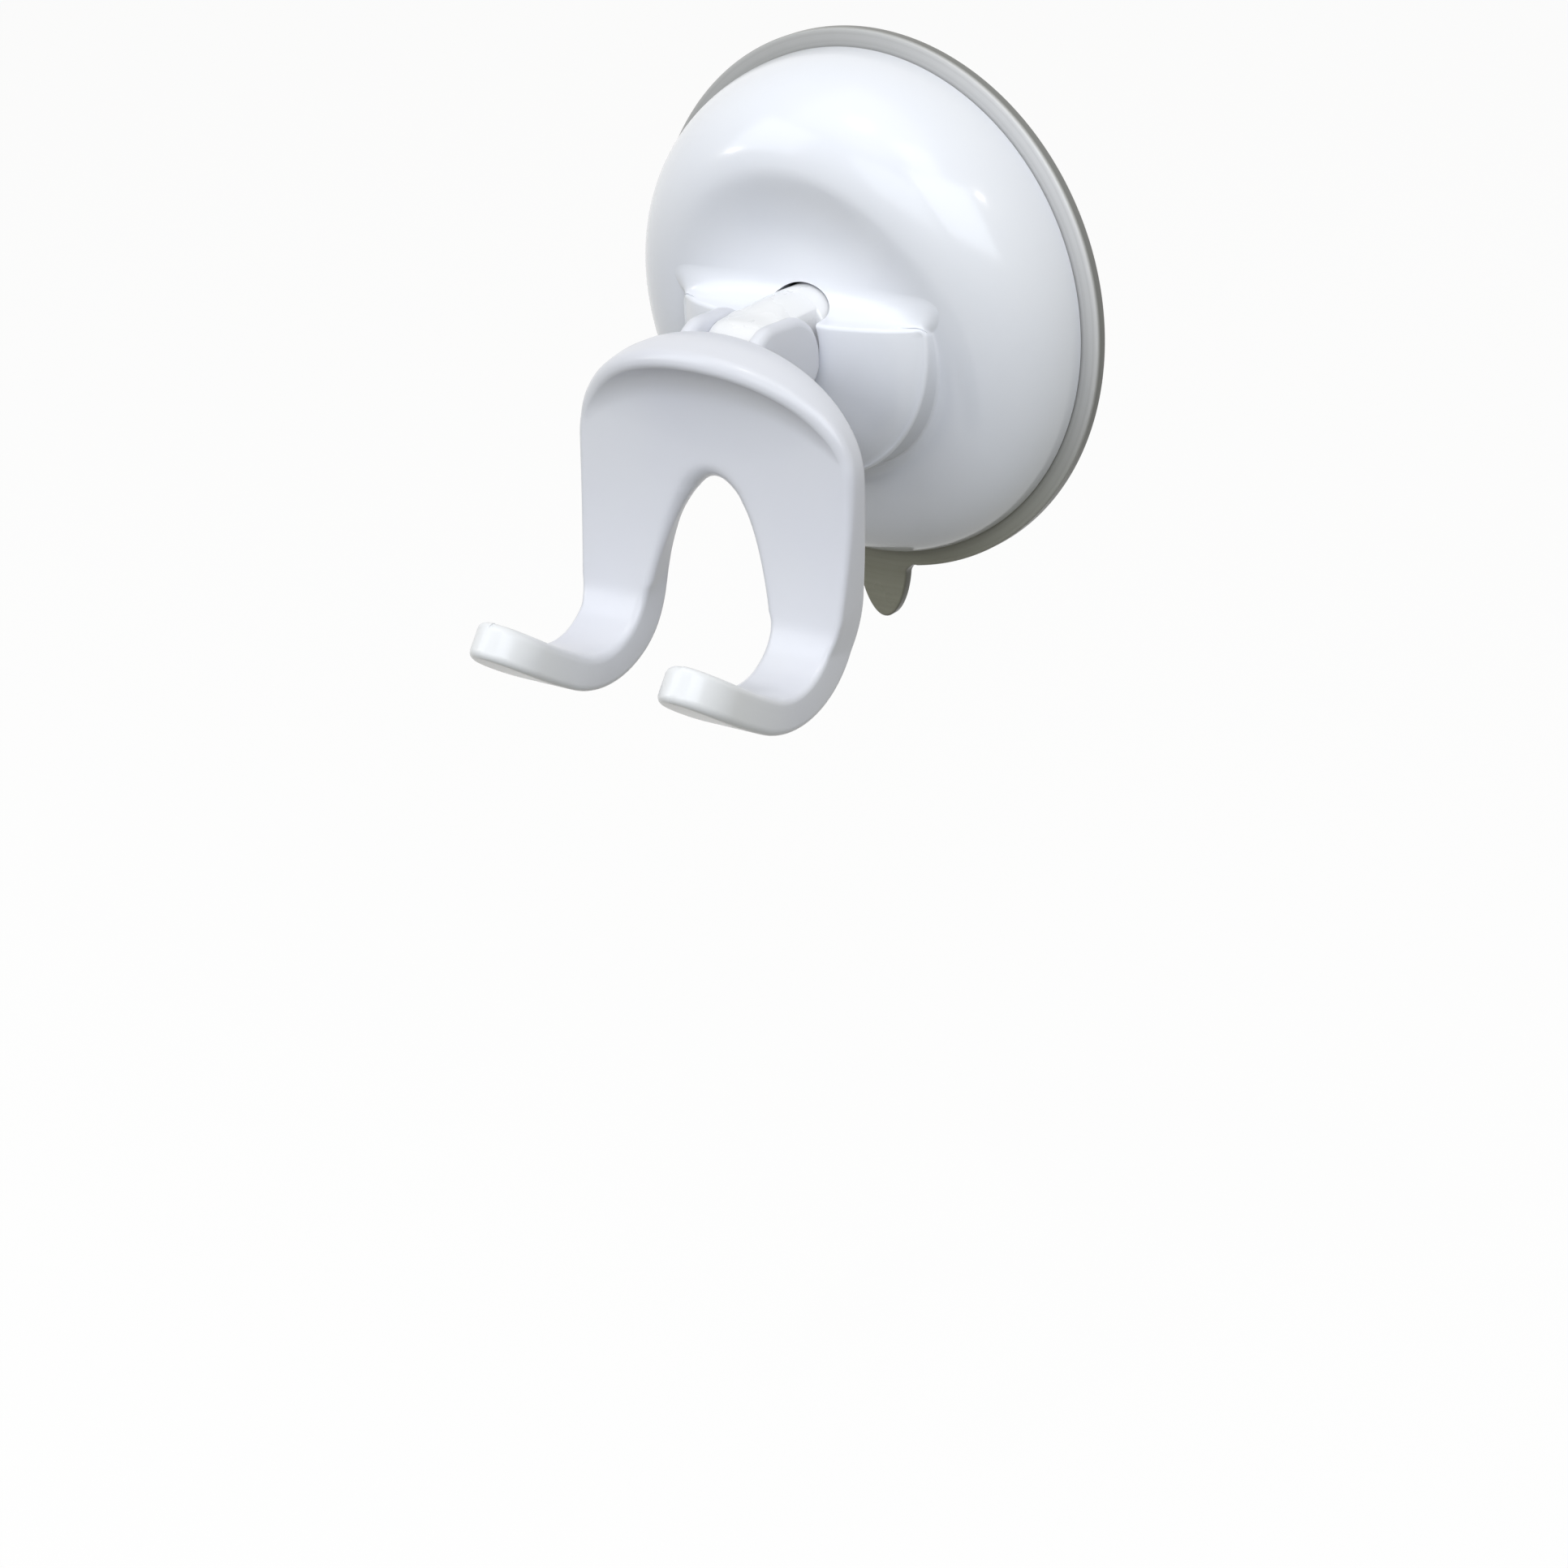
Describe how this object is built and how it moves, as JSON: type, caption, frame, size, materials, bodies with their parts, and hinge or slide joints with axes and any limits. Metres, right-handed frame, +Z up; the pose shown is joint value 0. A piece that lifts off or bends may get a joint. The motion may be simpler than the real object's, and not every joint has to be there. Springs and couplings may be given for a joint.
{
  "type": "suction razor holder",
  "caption": "Lever-lock suction cup under a leaning dome cover, with a horseshoe fork on a cam lever whose upturned arms carry a razor head.",
  "frame": {"origin": "middle of the suction cup, on the plane where it seals on the wall", "axes": "+X to the right for someone who faces the wall, +Y into the wall, +Z up; the lever hangs down in its locked place"},
  "size_m": [0.062, 0.056, 0.0688],
  "materials": {
    "soft_cup": "translucent soft vinyl, smooth and slightly clouded",
    "white_stem": "white moulded plastic, semi-gloss",
    "white_cover": "white moulded plastic, high gloss",
    "pin_steel": "plain steel pin",
    "white_fork": "white moulded plastic, semi-gloss"
  },
  "bodies": {
    "root": {"dome_cover": "white_cover", "suction_cup": "soft_cup"},
    "stem": {"draw_stem": "white_stem", "pivot_pin": "pin_steel"},
    "lever": {"razor_fork": "white_fork"}
  },
  "joints": [
    {"name": "stem_slide", "type": "slide", "parent": "root", "child": "stem", "axis": [0, 1, 0], "range_m": [0, 0.0015]},
    {"name": "lever_swing", "type": "hinge", "parent": "stem", "child": "lever", "pos_m": [0, -0.0232, 0], "axis": [-1, 0, 0], "range_deg": [0, 90]}
  ],
  "couplings": [
    {"joint": "stem_slide", "follows": "lever_swing", "m_per_rad": 0.00095493}
  ]
}
